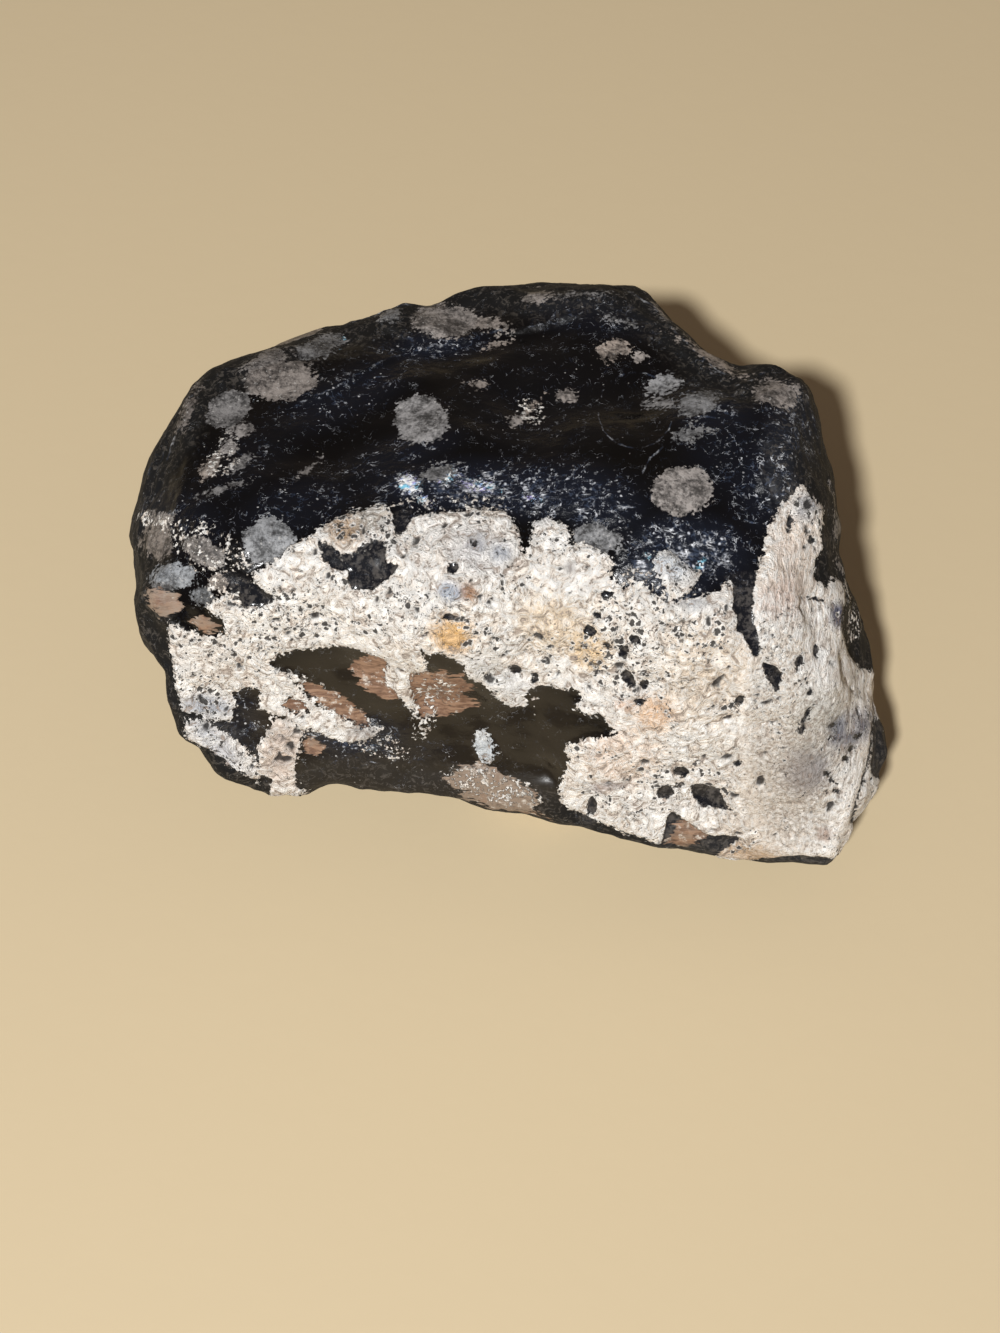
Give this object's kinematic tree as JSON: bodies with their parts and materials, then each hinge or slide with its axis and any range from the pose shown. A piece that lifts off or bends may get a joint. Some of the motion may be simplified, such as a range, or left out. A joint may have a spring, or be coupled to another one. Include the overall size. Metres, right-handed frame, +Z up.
{
  "type": "snowflake obsidian",
  "caption": "Palm-sized block of black volcanic glass with grey snowflake spots and a pale pitted crust down one side, resting on two worn flats underneath.",
  "frame": {"origin": "under the middle of the stone's bounding box, on the surface it rests on", "axes": "+X along the longest extent, to the right as seen in the picture; +Z up; -Y towards the viewer"},
  "size_m": [0.0734, 0.0588, 0.0378],
  "materials": {
    "obsidian": "glossy volcanic glass with grey snowflake spots and a matt cream crust"
  },
  "bodies": {
    "root": {"stone": "obsidian"}
  },
  "joints": []
}
